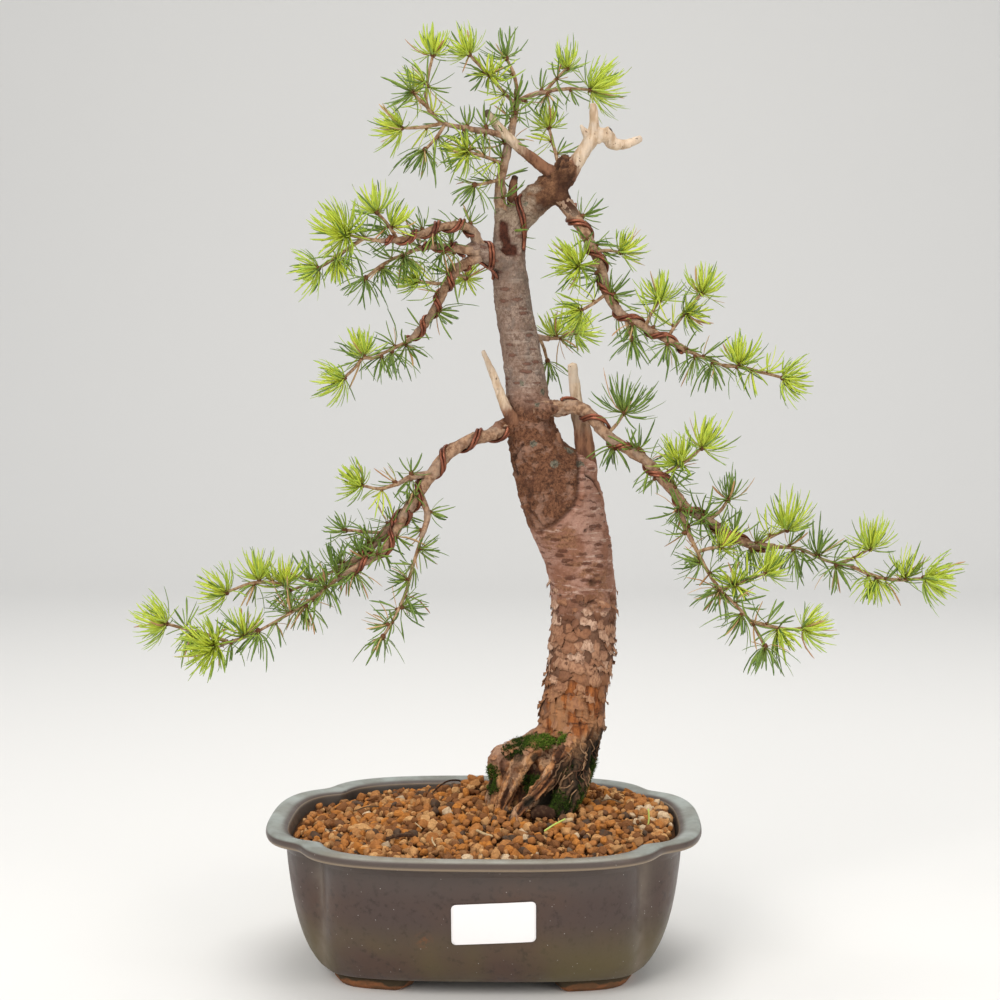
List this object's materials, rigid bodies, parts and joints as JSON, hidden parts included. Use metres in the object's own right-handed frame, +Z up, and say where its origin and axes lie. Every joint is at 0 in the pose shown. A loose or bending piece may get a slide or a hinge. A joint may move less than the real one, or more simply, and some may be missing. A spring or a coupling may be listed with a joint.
{
  "type": "european larch bonsai",
  "caption": "European larch bonsai: leaning flaky trunk with dead wood, wired branches and needle sprays, in a four-lobed glazed pot of clay granules.",
  "frame": {"origin": "middle of the bottom of the object's bounding box, on the surface that the pot's feet stand on", "axes": "+Z up, -Y towards the front of the bonsai, where the label is, +X to the viewer's right"},
  "size_m": [0.4854, 0.206, 0.5565],
  "materials": {
    "glaze": "satin dark purple-grey stoneware glaze with fine pale specks, blue-grey lip and bare clay feet",
    "drain_mesh": "matte black plastic net",
    "soil": "matte fired-clay granules, tan to orange-brown with grey and pale ones",
    "bark": "rough flaky pink-brown bark, grey above, bleached dead wood",
    "card": "smooth white card, blank",
    "wire": "satin copper-brown training wire",
    "needles_mature": "soft dark green needles",
    "needles_fresh": "soft bright yellow-green needles"
  },
  "bodies": {
    "root": {"pot": "glaze", "drain_mesh_left": "drain_mesh", "drain_mesh_right": "drain_mesh", "soil": "soil", "trunk": "bark", "label": "card", "wire_lower_left": "wire", "wire_lower_right": "wire", "wire_upper_right": "wire", "wire_middle_left": "wire", "wire_upper_left": "wire", "lower_left_upper_shoots": "needles_mature", "lower_left_upper_tips": "needles_fresh", "lower_left_lower_shoots": "needles_mature", "lower_left_end_star": "needles_fresh", "lower_left_far_tips": "needles_fresh", "lower_left_hanging_shoots": "needles_mature", "lower_left_side_tuft": "needles_fresh", "lower_left_small_star": "needles_mature", "lower_right_first_tuft": "needles_mature", "lower_right_fresh_tuft": "needles_fresh", "lower_right_star": "needles_mature", "lower_right_fan": "needles_fresh", "lower_right_outer_shoots": "needles_mature", "lower_right_outer_tuft": "needles_fresh", "lower_right_tip": "needles_fresh", "lower_right_drop_shoots": "needles_mature", "lower_right_drop_inner_tuft": "needles_fresh", "lower_right_drop_middle_tufts": "needles_fresh", "lower_right_drop_tip": "needles_fresh", "upper_right_big_star": "needles_fresh", "upper_right_second_star": "needles_fresh", "upper_right_low_tuft": "needles_fresh", "upper_right_hanging_shoot": "needles_mature", "upper_right_third_tuft": "needles_fresh", "upper_right_fourth_tuft": "needles_fresh", "upper_right_outer_shoots": "needles_mature", "upper_right_tip": "needles_fresh", "back_tuft": "needles_fresh", "back_hanging_shoot": "needles_mature", "upper_left_big_star": "needles_fresh", "upper_left_side_tufts": "needles_fresh", "upper_left_top_tufts": "needles_fresh", "upper_left_inner_shoots": "needles_mature", "middle_left_left_tuft": "needles_fresh", "middle_left_right_tuft": "needles_fresh", "middle_left_shoots": "needles_mature", "middle_left_tip_tufts": "needles_fresh", "apex_crown_shoot": "needles_mature", "apex_crown_left_tuft": "needles_fresh", "apex_right_inner_tuft": "needles_fresh", "apex_right_outer_tuft": "needles_fresh", "apex_left_crown_tuft": "needles_fresh", "apex_left_dark_shoot": "needles_mature", "apex_left_low_tuft": "needles_fresh", "apex_left_low_shoot": "needles_mature", "apex_centre_tuft": "needles_fresh", "apex_centre_shoot": "needles_mature", "apex_right_small_tuft": "needles_fresh"}
  },
  "joints": []
}
